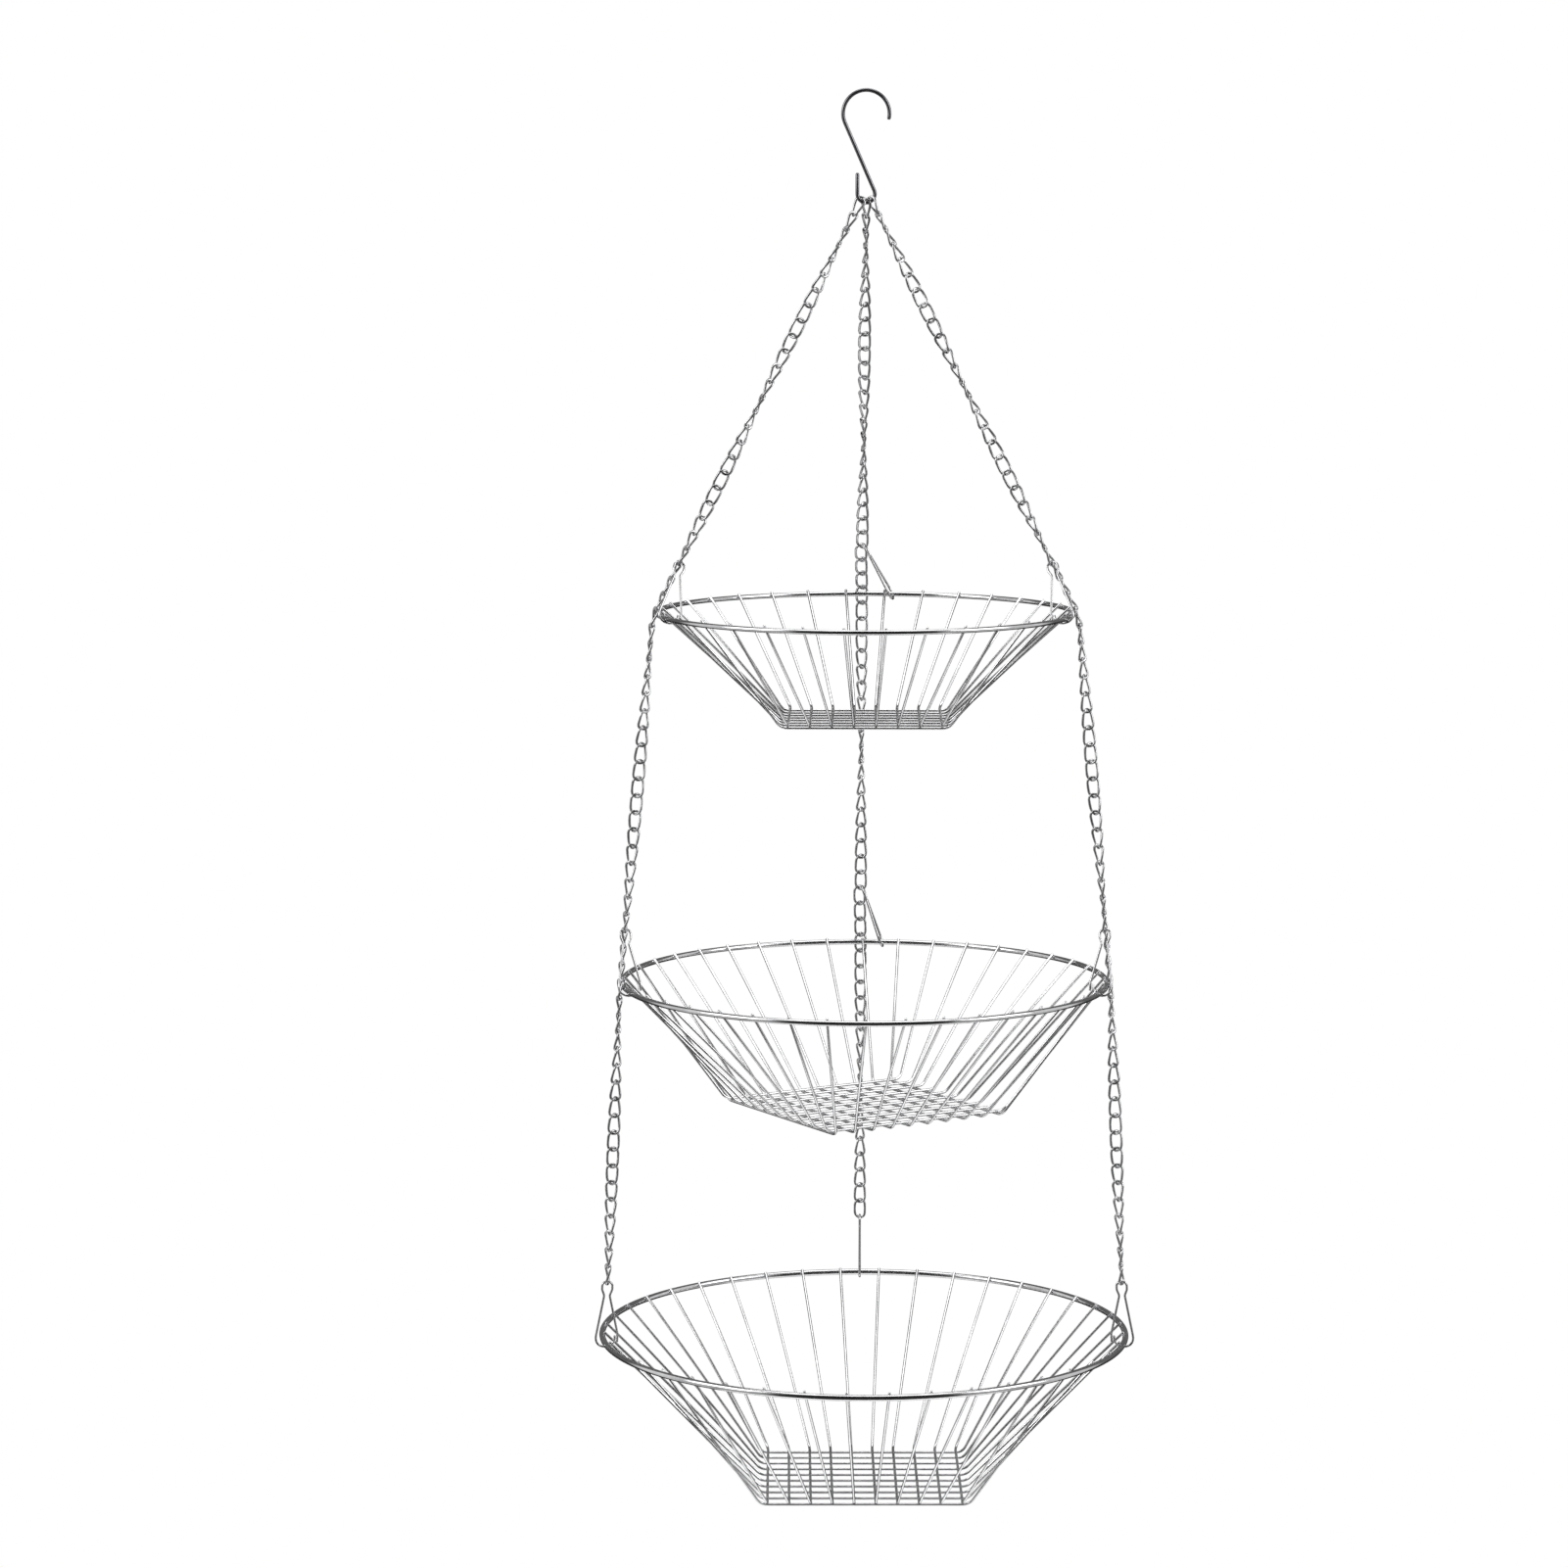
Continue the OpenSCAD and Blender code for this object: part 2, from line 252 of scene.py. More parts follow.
def bend_wire(name, points, bends, width, sides, arc_step=ARC_STEP):
    """A wire along the points, turned round a peg of radius bends[i] at the inner point i."""
    radius = width / 2
    last = len(points) - 1
    way = [(points[i + 1] - points[i]).normalized() for i in range(last)]
    angle = [0.0] + [way[i - 1].angle(way[i]) for i in range(1, last)] + [0.0]
    trim = [bends[i] * math.tan(angle[i] / 2) for i in range(last + 1)]
    wire = start_wire(points[0], way[0], radius * TIP_STEPS[0][0], sides)
    here = points[0].copy()
    for (share, along), (before, so_far) in zip(TIP_STEPS[1:], TIP_STEPS):
        push(way[0] * radius * (along - so_far))
        here = points[0] + way[0] * radius * along
        swell(share / before, here)
    for i in range(last):
        tip = radius * TIP_STEPS[-1][1] if i + 1 == last else 0.0
        to = points[i + 1] - way[i] * (trim[i + 1] + tip)
        if (to - here).length > SHORTEST_PUSH:
            push(to - here)
        here = to
        if i + 1 < last and angle[i + 1] > LEAST_TURN:
            inward = (way[i + 1] - way[i] * way[i].dot(way[i + 1])).normalized()
            peg = here + inward * bends[i + 1]
            steps = max(2, round(math.degrees(angle[i + 1]) / arc_step))
            turn(angle[i + 1], peg, way[i].cross(way[i + 1]).normalized(), steps)
            here = points[i + 1] + way[i + 1] * trim[i + 1]
    for (share, along), (after, further) in reversed(list(zip(TIP_STEPS, TIP_STEPS[1:]))):
        push(way[-1] * radius * (further - along))
        here = here + way[-1] * radius * (further - along)
        swell(share / after, here)
    return finish_wire(wire, name)


def join_as(name, pieces):
    """Joins the pieces into one object at the origin."""
    bpy.ops.object.select_all(action="DESELECT")
    for piece in pieces:
        piece.select_set(True)
    bpy.context.view_layer.objects.active = pieces[0]
    if len(pieces) > 1:
        bpy.ops.object.join()
    joined = bpy.context.object
    joined.name = name
    joined.data.name = name
    return joined


def hand_over(piece, node, finish):
    """The piece takes the node's place, its body and its finish."""
    piece.data.materials.clear()
    piece.data.materials.append(FINISH[finish])
    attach(piece, BODY_OF[node])
    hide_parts(node)
    print(piece.name, "on", BODY_OF[node], len(piece.data.polygons), "faces")


print("jig ready")

# %% [markdown]
# ## Sizes of the whole basket
# All lengths are real ones, in metres. Every piece could be measured off the frame by itself, but
# then nothing would say why it is there. The same few formulas place every chain, clip and wire,
# so the pieces meet: where a chain leans on a rim, where a clip's head sits in its link, and so on.

# %% Sizes
MM = 0.001
SIDES = ("left", "right", "back")
TIERS = ("top", "middle", "bottom")
# The hook: its eye's free end runs a little past the widest place, its bend's end stands up
HOOK_WIRE, EYE_R, HOOK_BEND_R, HOOK_REACH = 2 * MM, 10.9 * MM, 3.5 * MM, 55.3 * MM
EYE_TIP_TURN, BEND_TIP = math.radians(11), 9.8 * MM
# A link: wire, length inside, width outside, play between two
LINK_WIRE, LINK_INNER, LINK_WIDTH, LINK_PLAY = 1.35 * MM, 9.25 * MM, 7 * MM, 0.25 * MM
# The three tiers, from the top down
RIM_WIRE = (2.6 * MM, 2.8 * MM, 3.2 * MM)
RIM_R = tuple((d * MM - w) / 2 for d, w in zip((219, 257, 280), RIM_WIRE))
DROP = (212.5 * MM, 194.1 * MM, 188.4 * MM)
RIM_Z = (-HOOK_REACH - DROP[0], -HOOK_REACH - DROP[0] - DROP[1], -HOOK_REACH - sum(DROP))
DEPTH = (55.9 * MM, 67.4 * MM, 79.7 * MM)
BASE_Z = tuple(z - d for z, d in zip(RIM_Z, DEPTH))
COUNT = (8, 10, 10)
TURN = tuple(math.radians(a) for a in (-1, -59, 0))
BASKET_WIRE, GRID_PITCH, BASE_BEND_R = 1.4 * MM, 11.3 * MM, 6 * MM
BASE_LIP, WIRE_TIP = 3.6 * MM, 1.1 * MM  # past the grid, past the rim's weld
CLIP_WIRE, CLIP_LENGTH, CLIP_SPREAD = 1.2 * MM, 35 * MM, 10 * MM
HEAD_WIDTH, NECK_WIDTH = 5.4 * MM, 2.9 * MM
# Room where pieces bear, where a chain passes a rim, and at a weld
SEAT, RIM_GAP, WELD_GAP = 0.1 * MM, 0.3 * MM, 0.03 * MM
# A clip's shift aside in its link, the rim's height over its link's middle, half the straight
# between the two bends of a clip's round end
CROWD, RIM_SEAT, FLAT = 0.8 * MM, 0.7 * MM, 0.25 * MM
# Of the three chains: the side they hang on, the side of each that its clips take, the place in
# the hook's bend
AZIMUTH = tuple(math.radians(a) for a in (190, -10, 90))
CLIP_SIDE = (1, -1, -1)
HOOK_ANGLE = tuple(math.radians(a) for a in (-38, 38, 0))
LINK_R = LINK_WIRE / 2
LINK_HALF = LINK_WIDTH / 2 - LINK_R
CROWN_R = LINK_HALF - LINK_R
PITCH = LINK_INNER - LINK_PLAY
BEND_Z = HOOK_BEND_R - HOOK_REACH
print("rims at", [round(z, 4) for z in RIM_Z])


# %% Where the chains run
def polar(r, a, z):
    """The point at radius r, at angle a round the basket and at height z."""
    return Vector((r * math.cos(a), r * math.sin(a), z))


def tangent(a):
    """The way round the basket at angle a."""
    return Vector((-math.sin(a), math.cos(a), 0))


def across(v, along):
    """The part of v that is square to the way along, made one long."""
    return (v - along * v.dot(along)).normalized()


def slope(k):
    """How far the chains above rim k lean outwards."""
    wider = RIM_R[0] if k == 0 else RIM_R[k] - RIM_R[k - 1]
    return math.atan(wider / DROP[k])


def rim_link(k, s):
    """Middle of the link that lies against rim k."""
    lean = (slope(k) + slope(k + 1)) / 2
    room = (RIM_WIRE[k] / 2 + LINK_R + RIM_GAP) / math.cos(lean) + RIM_SEAT * math.tan(lean)
    return polar(RIM_R[k] + room, AZIMUTH[s], RIM_Z[k] - RIM_SEAT)


def hook_point(s):
    """Middle of the hook's wire under the first link of chain s."""
    r = HOOK_BEND_R + HOOK_WIRE / 2
    return Vector((r * math.sin(HOOK_ANGLE[s]), 0, BEND_Z - r * math.cos(HOOK_ANGLE[s])))


def foot_z(k):
    """Height of the clips' feet, under rim k."""
    return RIM_Z[k] - RIM_WIRE[k] / 2 - CLIP_WIRE / 2 - SEAT


def bottom_rise(s):
    """The way up a bottom clip: it hangs in line with its chain."""
    return (rim_link(1, s) - polar(RIM_R[2], AZIMUTH[s], foot_z(2))).normalized()


def bottom_head(s):
    return polar(RIM_R[2], AZIMUTH[s], foot_z(2)) + CLIP_LENGTH * bottom_rise(s)


def end_link(s):
    return bottom_head(s) + (LINK_INNER / 2 - CLIP_WIRE / 2 - SEAT) * bottom_rise(s)


def rim_way(k, s):
    """The way down the link at rim k, halfway between the chain's ways above and below."""
    above = hook_point(s) if k == 0 else rim_link(0, s)
    below = rim_link(1, s) if k == 0 else end_link(s)
    middle = rim_link(k, s)
    return ((middle - above).normalized() + (below - middle).normalized()).normalized()


def over_rim(k, s):
    return rim_link(k, s) - PITCH / 2 * rim_way(k, s)


def under_rim(k, s):
    return rim_link(k, s) + PITCH / 2 * rim_way(k, s)


def stretch_start(k, s):
    if k > 0:
        return under_rim(k - 1, s)
    way = (over_rim(0, s) - hook_point(s)).normalized()
    return hook_point(s) - (HOOK_WIRE / 2 + LINK_PLAY / 2) * way


def stretch_end(k, s):
    return over_rim(k, s) if k < 2 else end_link(s) + PITCH / 2 * bottom_rise(s)


def link_count(k, s):
    return math.ceil((stretch_end(k, s) - stretch_start(k, s)).length / PITCH)


def bearing(k, s, i):
    """Where links i - 1 and i of a stretch bear on each other."""
    return stretch_start(k, s).lerp(stretch_end(k, s), i / link_count(k, s))


# Links from the one that holds a clip down to the rim, an even count, as in the frame
CLIP_LINKS = 2 * max(1, int((CLIP_LENGTH + PITCH / 4) / (2 * PITCH)))


def clip_index(k, s):
    """The link of stretch k that holds the clip's head."""
    return link_count(k, s) - CLIP_LINKS


print("links a side:", [link_count(k, 0) for k in range(3)])

# %% [markdown]
# ## The S-hook
# One thick wire: a large open eye over the ceiling hook, a straight shank that crosses to the
# other side, and a small bend with a short free end. The jig could find the bends from corner
# points, but both go past a half turn, which has no corner. So it is pushed and turned directly.

# %% S-hook
HOOK_SIDES, EYE_STEPS, BEND_STEPS = 20, 44, 30
TIP_SHARE = 0.5  # of the radius, at the very end
WIDENING, NARROWING = ((0.3, 1.6), (0.6, 1.25)), ((0.6, 0.8), (0.3, 0.6))  # radii along, factor


def draw_tip(here, way, steps):
    """Pushes on in short steps, and changes the width after each."""
    for along, factor in steps:
        push(way * (HOOK_WIRE / 2 * along))
        here = here + way * (HOOK_WIRE / 2 * along)
        swell(factor, here)


def s_hook():
    big, small = EYE_R + HOOK_WIRE / 2, HOOK_BEND_R + HOOK_WIRE / 2
    eye, bend = Vector((0, 0, -EYE_R)), Vector((0, 0, BEND_Z))
    lean = math.asin((big + small) / (eye.z - bend.z))
    away = Vector((math.cos(lean), 0, math.sin(lean)))
    tip = Vector((math.cos(EYE_TIP_TURN), 0, -math.sin(EYE_TIP_TURN)))
    tip_way = Vector((math.sin(EYE_TIP_TURN), 0, math.cos(EYE_TIP_TURN)))
    radius = HOOK_WIRE / 2
    start = eye + big * tip - tip_way * radius * sum(along for along, factor in WIDENING)
    wire = start_wire(start, tip_way, radius * TIP_SHARE, HOOK_SIDES)
    draw_tip(start, tip_way, WIDENING)
    turn(math.pi + lean + EYE_TIP_TURN, eye, Vector((0, -1, 0)), EYE_STEPS)
    push((bend + small * away) - (eye - big * away))
    turn(math.pi + lean, bend, Vector((0, 1, 0)), BEND_STEPS)
    end = bend + Vector((-small, 0, BEND_TIP))
    push(end - (bend + Vector((-small, 0, 0))))
    draw_tip(end, Vector((0, 0, 1)), NARROWING)
    return finish_wire(wire, "hook_of_bent_wire")


hand_over(s_hook(), "s_hook", "hook_chrome")

# %% [markdown]
# ## The chain
# It is a curb chain: each oval link is twisted along its length, so that all links face one way
# and each crown crosses the next one. An array along a curve would repeat a link quickly, but it
# can't seat each link at its own point. So one link is bent flat, twisted with a modifier, and
# copied to every bearing point. The chain as a whole turns slowly as it goes down, which is why
# some links look wide and others narrow.

# %% One twisted link
LINK_TWIST = math.radians(66)
LINK_SIDES, CROWN_STEPS, LEG_STEPS = 6, 7, 2
SAME_LINK_POINT, LINK_SMOOTH_UNDER = 0.02 * MM, 80  # m and degrees


def twisted_link():
    half = LINK_INNER / 2 - CROWN_R
    foot, up = Vector((LINK_HALF, 0, -half)), Vector((0, 0, 1))
    wire = start_wire(foot, up, LINK_R, LINK_SIDES, closed=True)
    for rise in (up, -up):
        for step in range(LEG_STEPS):
            push(rise * (2 * half / LEG_STEPS))
        turn(math.pi, rise * half, Vector((0, -1, 0)), CROWN_STEPS)
    bpy.ops.mesh.select_all(action="SELECT")
    bpy.ops.mesh.remove_doubles(threshold=SAME_LINK_POINT)
    link = finish_wire(wire, "pattern_link", LINK_SMOOTH_UNDER)
    twist = link.modifiers.new("twist", "SIMPLE_DEFORM")
    twist.deform_method = "TWIST"
    twist.deform_axis = "Z"
    twist.angle = LINK_TWIST
    bpy.ops.object.modifier_apply(modifier="twist")
    return link


PATTERN_LINK = twisted_link()
print("link faces:", len(PATTERN_LINK.data.polygons))


# %% Copies along the chain
def copy_of(pattern, matrix):
    """A copy with its own mesh, which takes the place."""
    copy = pattern.copy()
    copy.data = pattern.data.copy()
    bpy.context.scene.collection.objects.link(copy)
    copy.data.transform(matrix)
    return copy


def place_link(a, b, s, roll):
    """A copy of the link that bears at points a and b, rolled about its length."""
    way = (b - a).normalized()
    flat = across(tangent(AZIMUTH[s]), way)
    wide = flat * math.cos(roll) + way.cross(flat) * math.sin(roll)
    columns = Matrix((wide, way.cross(wide), way)).transposed().to_4x4()
    return copy_of(PATTERN_LINK, Matrix.Translation((a + b) / 2) @ columns)


def mean_roll(k, s, i):
    """The turn down a stretch, whole in the top one and half in the others, flat at the clip."""
    last = clip_index(k, s) if k < 2 else link_count(k, s)
    first = 0.0
    if k == 0:
        first = -LINK_TWIST / 2 + (math.pi / 2 if SIDES[s] == "back" else 0)
    goal = math.pi * (2 if k == 0 else 1)
    return first + (goal - first) * min(i, last) / last


def stretch(k, s, first, last):
    return [
        place_link(bearing(k, s, i), bearing(k, s, i + 1), s, mean_roll(k, s, i))
        for i in range(first, last + 1)
    ]


def rim_stretch(k, s):
    """The links from below the clip's link to the rim, pushed aside by the clip's head."""
    way = (stretch_end(k, s) - stretch_start(k, s)).normalized()
    room = CROWN_R - LINK_R
    lift = room - math.sqrt(room * room - CROWD * CROWD)
    aside = CLIP_SIDE[s] * CROWD * across(tangent(AZIMUTH[s]), way)
    top = bearing(k, s, clip_index(k, s) + 1) - aside - lift * way
    down = (over_rim(k, s) - top) / (CLIP_LINKS - 1)
    seats = [top + i * down for i in range(CLIP_LINKS)] + [under_rim(k, s)]
    return [place_link(a, b, s, 0.0) for a, b in zip(seats, seats[1:])]


for s, side in enumerate(SIDES):
    above, below = clip_index(0, s), clip_index(1, s)  # the links that hold a clip
    last_link = [stretch_end(2, s), stretch_end(2, s) - PITCH * bottom_rise(s)]
    runs = {
        "first_link_": stretch(0, s, 0, 0),
        "top_chain_": stretch(0, s, 1, above) + rim_stretch(0, s),
        "middle_chain_": stretch(1, s, 0, below - 1),
        "middle_rim_links_": stretch(1, s, below, below) + rim_stretch(1, s),
        "bottom_chain_": stretch(2, s, 0, link_count(2, s) - 1) + [place_link(*last_link, s, 0.0)],
    }
    for node, links in runs.items():
        hand_over(join_as("curb_" + node + side, links), node + side, "chain_chrome")
bpy.data.objects.remove(PATTERN_LINK)

# %% [markdown]
# ## The spring clips
# Each clip is one springy wire: a round head through a chain link, a neck, a wide round foot under
# the rim that ends in a hook, and an inner leg that latches beside that hook. All nine could be
# copies of one, but each leans its own way from its link to its rim. So the jig bends each one
# along the same outline, laid between its own foot and head.

# %% Where the clips go
def clip_head(k, s):
    """Top of a clip, beside the next link in the crown of its own link."""
    if k == 2:
        return bottom_head(s)
    way = (stretch_end(k, s) - stretch_start(k, s)).normalized()
    i = clip_index(k, s)
    room = CROWN_R - CLIP_WIRE / 2 - SEAT
    rise = LINK_INNER / 2 - CROWN_R + math.sqrt(room * room - CROWD * CROWD)
    middle = (bearing(k, s, i) + bearing(k, s, i + 1)) / 2
    return middle + rise * way + CLIP_SIDE[s] * CROWD * across(tangent(AZIMUTH[s]), way)


def clip_foot(k, s):
    """Bottom of a clip, under the rim and as far along it as the clip's length asks for."""
    if k == 2:
        return polar(RIM_R[2], AZIMUTH[s], foot_z(2))
    h = clip_head(k, s)
    r = math.hypot(h.x, h.y)
    rise = h.z - foot_z(k)
    c = (r * r + RIM_R[k] ** 2 + rise * rise - CLIP_LENGTH**2) / (2 * r * RIM_R[k])
    return polar(RIM_R[k], math.atan2(h.y, h.x) + CLIP_SIDE[s] * math.acos(min(1, c)), foot_z(k))


print("clip feet at", [round(clip_foot(k, 0).z, 4) for k in range(3)])

# %% Clips
# Heights above the foot's round end: its hook's tip, the outer leg's start, the latch
HOOK_END, LEG_START, LATCH_BEND, LATCH_END = 1.2 * MM, 0.6 * MM, 2.2 * MM, -2.4 * MM
NECK_DOWN, SHOULDER_DOWN = 7.4 * MM, 4.2 * MM  # below the head's top
LEG_R, NECK_R, LATCH_R = 8 * MM, 2.4 * MM, 2 * MM
CLIP_SIDES, CLIP_ARC_STEP = 8, 14


def spring_clip(k, s):
    """From the foot's hook, up the outer leg, round the head and down to the latch."""
    foot = clip_foot(k, s)
    rise = clip_head(k, s) - foot
    up = rise.normalized()
    out = across(Vector((foot.x, foot.y, 0)).normalized(), up)
    half, head, neck, top = CLIP_SPREAD / 2, HEAD_WIDTH / 2, NECK_WIDTH / 2, rise.length
    latch = -half - CLIP_WIRE - 2 * SEAT
    outline = (  # across, up, bending radius
        (-half, half + HOOK_END, 0),
        (-half, 0, half - FLAT),
        (half, 0, half - FLAT),
        (half, half + LEG_START, LEG_R),
        (neck, top - NECK_DOWN, NECK_R),
        (head, top - SHOULDER_DOWN, NECK_R),
        (head, top, head - FLAT),
        (-head, top, head - FLAT),
        (-head, top - SHOULDER_DOWN, NECK_R),
        (-neck, top - NECK_DOWN, NECK_R),
        (latch, half + LATCH_BEND, LATCH_R),
        (latch, half + LATCH_END, 0),
    )
    points = [foot + x * out + y * up for x, y, bend in outline]
    bends = [bend for x, y, bend in outline]
    return bend_wire("clip", points, bends, CLIP_WIRE, CLIP_SIDES, CLIP_ARC_STEP)


for k, tier in enumerate(TIERS):
    for s, side in enumerate(SIDES):
        node = tier + "_clip_" + side
        hand_over(join_as("sprung_" + node, [spring_clip(k, s)]), node, "clip_chrome")

# %% [markdown]
# ## The rims
# A rim is one ring of thick wire, butt-welded where its ends meet. The weld is ground and plated
# over, and leaves a faint swelling, put at the back where it least shows. The jig could turn the
# ring, but a torus is even all round and closes by itself. The swelling is raised on it afterwards.

# %% Rims
RING_STEPS, RIM_SIDES = 180, 16
WELD_AT, WELD_WIDTH = math.radians(117), 0.012  # radians round the ring
WELD_RISE = 0.07  # share of the wire's radius


def rim(k):
    bpy.ops.object.select_all(action="DESELECT")
    bpy.ops.mesh.primitive_torus_add(
        major_segments=RING_STEPS,
        minor_segments=RIM_SIDES,
        major_radius=RIM_R[k],
        minor_radius=RIM_WIRE[k] / 2,
        location=(0, 0, RIM_Z[k]),
    )
    ring = bpy.context.object
    bpy.ops.object.transform_apply(location=True, rotation=True, scale=True)
    for v in ring.data.vertices:
        a = math.atan2(v.co.y, v.co.x)
        swelling = WELD_RISE * math.exp(-(((a - WELD_AT) / WELD_WIDTH) ** 2))
        core = polar(RIM_R[k], a, RIM_Z[k])
        v.co = core + (v.co - core) * (1 + swelling)
    bpy.ops.object.shade_smooth()
    return ring


for k, tier in enumerate(TIERS):
    hand_over(join_as("round_" + tier + "_rim", [rim(k)]), tier + "_rim", "rim_chrome")

# %% [markdown]
# ## The basket wires
# Each basket wire is bent like a wide U, flat along the base and fanned out up both sides to the
# rim. Two layers cross at right angles. No two wires of a layer fan out alike, so none is a copy:
# the jig bends each one through its own four points. Where the layers cross, a spot weld leaves
# a small flat bead, and so does each weld at the rim.

# %% Ends of the wires on the rims
RIM_SHARE = 90  # degrees of the rim that the wires of one layer take on each side


def rim_side(a, way):
    """The way from the rim's middle to a wire that runs along its inner side."""
    n = way.cross(tangent(a)).normalized()
    return n if n.dot(polar(1, a, 0)) < 0 else -n


def rim_end(k, a, way):
    """Where a wire with that way is welded to rim k."""
    reach = RIM_WIRE[k] / 2 + BASKET_WIRE / 2 + WELD_GAP
    return polar(RIM_R[k], a, RIM_Z[k]) + reach * rim_side(a, way)


def wire_way(k, v, a):
    """The way from a corner v to the rim: found once roughly, and once more from there."""
    first = (polar(RIM_R[k], a, RIM_Z[k]) - v).normalized()
    return (rim_end(k, a, first) - v).normalized()


def basket_bend(k, j, angle, z):
    """The four corners of one basket wire, and the two places where it meets the rim."""
    half = (COUNT[k] - 1) / 2
    y = (j - half) * GRID_PITCH
    fan = math.radians((j - half) * RIM_SHARE / COUNT[k])
    x = half * GRID_PITCH + BASE_LIP
    c, n = math.cos(angle), math.sin(angle)
    here = Vector((x * c - y * n, x * n + y * c, z))
    there = Vector((-x * c - y * n, -x * n + y * c, z))
    ends, welds = [], []
    for corner, a in ((here, angle + fan), (there, angle + math.pi - fan)):
        way = wire_way(k, corner, a)
        meet = rim_end(k, a, way)
        ends.append(meet + WIRE_TIP * way)
        welds.append((meet + polar(RIM_R[k], a, RIM_Z[k])) / 2)
    return [ends[0], here, there, ends[1]], welds


print("wires:", [2 * n for n in COUNT])

# %% Weld beads
BEAD_R, BEAD_FLATNESS, BEAD_DETAIL = 0.85 * MM, 0.62, 2


def bead():
    bpy.ops.object.select_all(action="DESELECT")
    bpy.ops.mesh.primitive_ico_sphere_add(subdivisions=BEAD_DETAIL, radius=BEAD_R)
    drop = bpy.context.object
    bpy.ops.object.mode_set(mode="EDIT")
    bpy.ops.transform.resize(value=(1, 1, BEAD_FLATNESS), center_override=(0, 0, 0))
    bpy.ops.object.mode_set(mode="OBJECT")
    bpy.ops.object.transform_apply(location=True, rotation=True, scale=True)
    bpy.ops.object.shade_smooth()
    return drop


PATTERN_BEAD = bead()
print("bead faces:", len(PATTERN_BEAD.data.polygons))


def bead_at(place):
    return copy_of(PATTERN_BEAD, Matrix.Translation(place))


# %% Both layers of each basket
WIRE_SIDES = 8


def crossings(k):
    """Where the wires of the two layers cross, halfway between them."""
    half = (COUNT[k] - 1) / 2
    steps = [(i - half) * GRID_PITCH for i in range(COUNT[k])]
    turned = Matrix.Rotation(TURN[k], 3, "Z")
    up = Vector((0, 0, BASE_Z[k] + BASKET_WIRE / 2 + WELD_GAP / 2))
    return [turned @ Vector((x, y, 0)) + up for x in steps for y in steps]


for k, tier in enumerate(TIERS):
    beads = [bead_at(place) for place in crossings(k)]
    layers = (
        ("lengthwise_wires", TURN[k], BASE_Z[k]),
        ("crosswise_wires", TURN[k] + math.pi / 2, BASE_Z[k] + BASKET_WIRE + WELD_GAP),
    )
    for layer, angle, z in layers:
        wires = []
        for j in range(COUNT[k]):
            points, welds = basket_bend(k, j, angle, z)
            bends = [0, BASE_BEND_R, BASE_BEND_R, 0]
            wires.append(bend_wire("wire", points, bends, BASKET_WIRE, WIRE_SIDES))
            beads += [bead_at(w) for w in welds]
        node = tier + "_" + layer
        hand_over(join_as("bent_" + node, wires), node, "wire_chrome")
    drops = join_as("weld_beads_" + tier, beads)
    drops.data.materials.clear()
    drops.data.materials.append(FINISH["wire_chrome"])
    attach(drops, BODY_OF[tier + "_rim"])
    print(drops.name, len(beads), "beads")
bpy.data.objects.remove(PATTERN_BEAD)

# %% [markdown]
# ## The studio
# Bare chrome shows only what is round it. In the photograph all is white, yet the rims are dark in
# front and at both ends, because the camera's side of the room and the far side are dark. Dark
# cards could stand there, but the camera would see them. So the world itself is white, with two
# dark sides, a dim front half and a dim underside, which only reflections and light see.

# %% World
CAMERA_SIDE, CAMERA_SIDE_EDGE = 0.7, 6.0  # where facing starts to darken, and how fast
FAR_SIDE, FAR_SIDE_EDGE, FAR_SIDE_DARK = -0.35, -5.0, 0.85
FRONT_START, FRONT_SLOPE, FRONT_DARK, UNDERSIDE_DARK = 0.25, 0.5, 0.75, 0.35
DARKEST = 0.97
LEAST_LEVEL = 0.001  # keeps straight up and straight down from dividing by nothing


def dark_side(facing, start, edge):
    """0 before the start, then rising to 1."""
    return ((facing - start) * edge).at_least(0.0).at_most(1.0)


def studio_world():
    world = bpy.data.worlds.new("white_studio")
    bpy.context.scene.world = world
    world.use_nodes = True
    tree = world.node_tree
    tree.nodes.clear()
    coords = make_node(tree, "ShaderNodeTexCoord")
    way = Value(tree, coords.outputs["Generated"])
    parts = make_node(tree, "ShaderNodeSeparateXYZ", Vector=way)
    x, y, z = (Value(tree, parts.outputs[i]) for i in range(3))
    level = (x * x + y * y).power(0.5).at_least(LEAST_LEVEL)
    facing = y * -1.0 * level.power(-1.0)  # 1 towards the camera, -1 away from it
    camera_side = dark_side(facing, CAMERA_SIDE, CAMERA_SIDE_EDGE)
    far_side = dark_side(facing, FAR_SIDE, FAR_SIDE_EDGE) * FAR_SIDE_DARK
    front = (FRONT_START - y * FRONT_SLOPE).at_least(0.0) * FRONT_DARK
    underside = (z * -1.0).at_least(0.0) * UNDERSIDE_DARK
    dark = (camera_side + far_side + (front + underside)).at_most(DARKEST)
    path = make_node(tree, "ShaderNodeLightPath")
    seen = Value(tree, path.outputs["Is Camera Ray"])
    glow = make_node(tree, "ShaderNodeBackground", Strength=1.0 - dark * (1.0 - seen))
    glow.inputs["Color"].default_value = (1, 1, 1, 1)
    out = make_node(tree, "ShaderNodeOutputWorld")
    tree.links.new(glow.outputs[0], out.inputs[0])
    return world


print(studio_world().name)

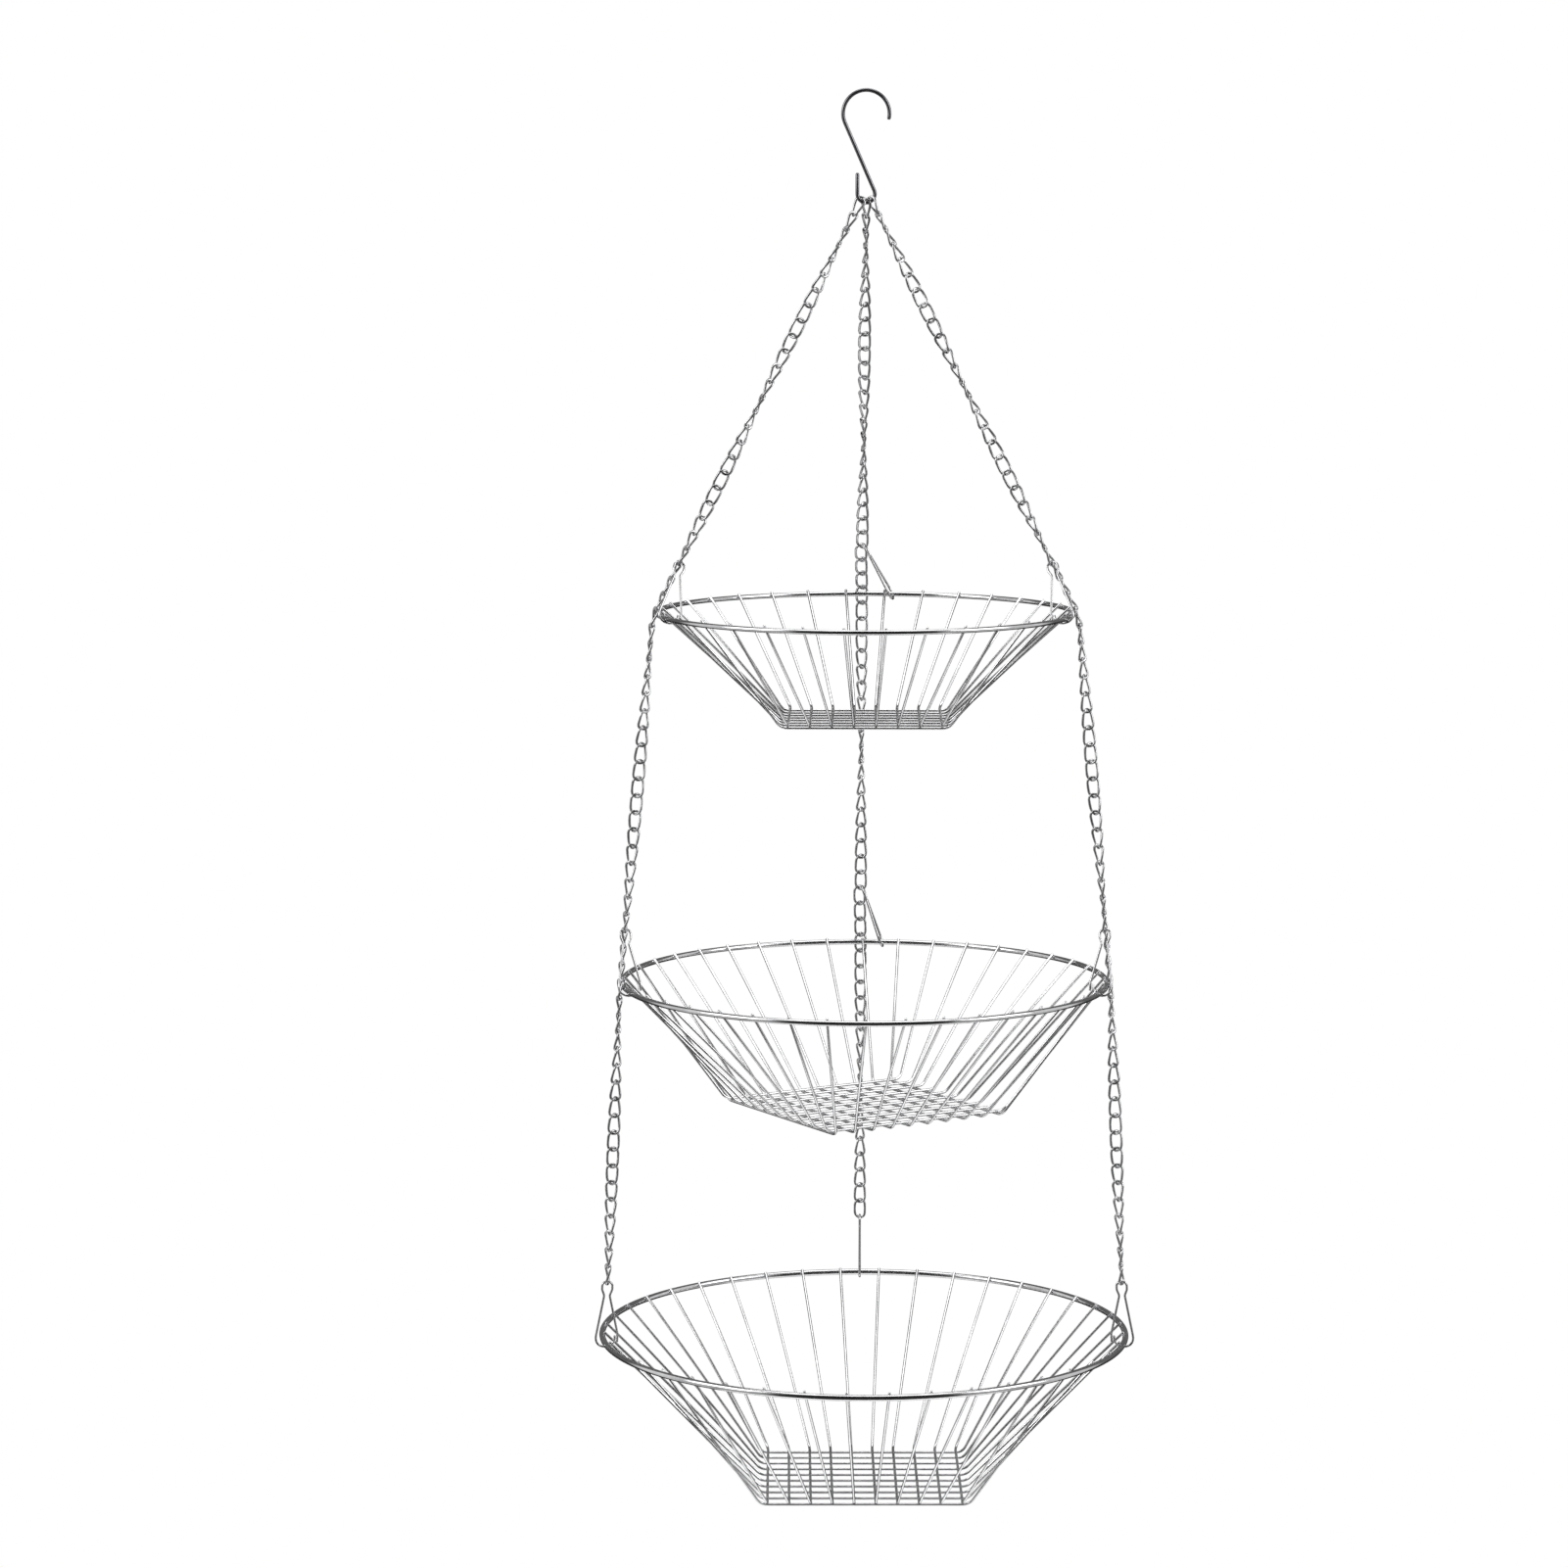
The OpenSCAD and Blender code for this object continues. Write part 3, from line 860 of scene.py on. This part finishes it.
# %% [markdown]
# ## The floor and the lamps
# The basket hangs, so the floor is far below it. A wide backdrop would show its edge against the
# white, so the floor is a pale disc that only has to catch the shadow. Three large soft lamps give
# the object a plain, even light.

# %% Floor
FLOOR_R, FLOOR_Z, FLOOR_STEPS = 0.8, -1.9, 96
FLOOR_PALE, FLOOR_GLOW = 0.9, 0.7


def pale_floor():
    bpy.ops.object.select_all(action="DESELECT")
    bpy.ops.mesh.primitive_circle_add(
        vertices=FLOOR_STEPS, radius=FLOOR_R, fill_type="NGON", location=(0, 0, FLOOR_Z)
    )
    floor = bpy.context.object
    floor.name = "pale_floor"
    material = bpy.data.materials.new("pale_floor")
    material.use_nodes = True
    tree = material.node_tree
    tree.nodes.clear()
    path = make_node(tree, "ShaderNodeLightPath")
    seen = Value(tree, path.outputs["Is Camera Ray"]) + Value(tree, path.outputs["Is Glossy Ray"])
    matt = make_node(tree, "ShaderNodeBsdfDiffuse", Color=(FLOOR_PALE,) * 3 + (1,))
    strength = seen.at_most(1.0) * FLOOR_GLOW
    glow = make_node(tree, "ShaderNodeEmission", Color=(1, 1, 1, 1), Strength=strength)
    mixed = make_node(tree, "ShaderNodeAddShader")
    tree.links.new(matt.outputs[0], mixed.inputs[0])
    tree.links.new(glow.outputs[0], mixed.inputs[1])
    out = make_node(tree, "ShaderNodeOutputMaterial")
    tree.links.new(mixed.outputs[0], out.inputs[0])
    floor.data.materials.append(material)
    return floor


print(pale_floor().name)


# %% Soft lamps
LAMP_AIM = Vector((0, 0, -0.4))
LAMP_POWER = 30  # watts


def soft_lamp(name, place, size):
    data = bpy.data.lights.new(name, "AREA")
    data.shape = "SQUARE"
    data.size = size
    data.energy = LAMP_POWER
    lamp = bpy.data.objects.new(name, data)
    lamp.location = place
    aim = LAMP_AIM - Vector(place)
    lamp.rotation_euler = aim.to_track_quat("-Z", "Y").to_euler()
    bpy.context.scene.collection.objects.link(lamp)
    return lamp


for name, place, size in (
    ("soft_left", (-2.4, -1.0, 0.9), 1.6),
    ("soft_right", (2.4, -1.0, 0.9), 1.6),
    ("soft_above", (0, 0.4, 2.0), 1.8),
):
    print(soft_lamp(name, place, size).name)
